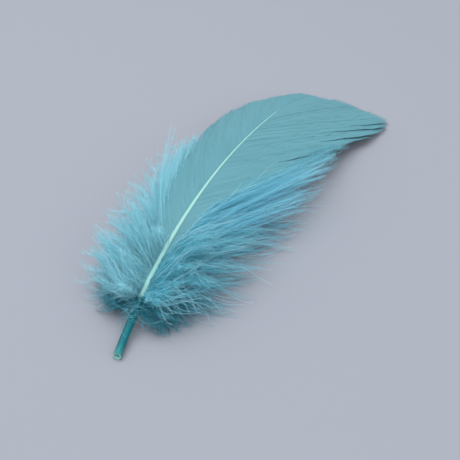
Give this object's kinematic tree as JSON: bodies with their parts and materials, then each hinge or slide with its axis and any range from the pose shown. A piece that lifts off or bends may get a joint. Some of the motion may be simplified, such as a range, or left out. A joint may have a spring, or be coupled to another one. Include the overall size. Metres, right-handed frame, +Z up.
{
  "type": "goose quill feather",
  "caption": "Dyed goose feather lying flat: cut hollow quill, arched pale rachis, one broad and one narrow satin vane with parted barbs, and loose down around its base.",
  "frame": {"origin": "middle of the feather's box, on the surface that it lies on", "axes": "+Y runs along the shaft from the cut end to the tip, +X is the side of the broad vane, and +Z is up, on the outer, arched side of the feather"},
  "size_m": [0.0864, 0.1867, 0.0324],
  "materials": {
    "vane": "satin aqua barbs with a soft sheen",
    "quill": "smooth keratin, teal at the cut end and pale mint along the rachis",
    "down": "matt blue-aqua fluff with paler tips"
  },
  "bodies": {
    "root": {"feather": "vane"}
  },
  "joints": []
}
